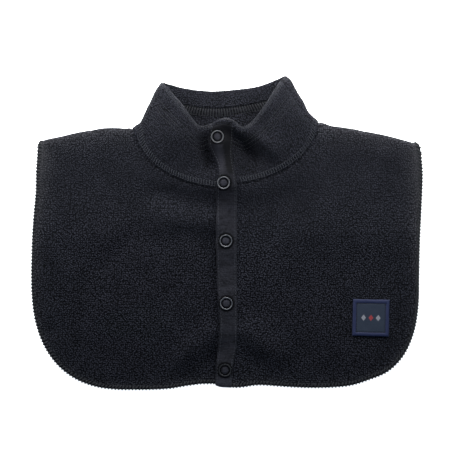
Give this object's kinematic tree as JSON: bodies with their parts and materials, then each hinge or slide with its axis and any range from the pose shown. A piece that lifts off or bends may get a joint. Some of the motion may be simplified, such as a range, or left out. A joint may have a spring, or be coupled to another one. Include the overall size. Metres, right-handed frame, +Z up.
{
  "type": "neck warmer",
  "caption": "Child's fleece neck warmer with a folded stand collar, a short rounded bib at front and back, a taped snap placket and a woven patch, lying flat on its back.",
  "frame": {"origin": "on the floor, under the middle of the whole piece as it lies", "axes": "+Z up from the floor, +Y from the lower hem to the collar's top edge, +X to the viewer's right of the front"},
  "size_m": [0.3362, 0.269, 0.0256],
  "materials": {
    "fleece": "matte black fleece with a pilled nap",
    "knit_tape": "smooth black knit tape",
    "woven_patch": "navy woven badge cloth with a stitched edge",
    "snap_metal": "dark nickel"
  },
  "bodies": {
    "root": {"bib": "fleece", "collar": "fleece", "placket_tape": "knit_tape", "label_patch": "woven_patch", "snap_ring_1": "snap_metal", "snap_ring_2": "snap_metal", "snap_ring_3": "snap_metal", "snap_ring_4": "snap_metal", "snap_ring_5": "snap_metal", "snap_stud_1": "snap_metal", "snap_stud_2": "snap_metal", "snap_stud_3": "snap_metal", "snap_stud_4": "snap_metal", "snap_stud_5": "snap_metal"}
  },
  "joints": []
}
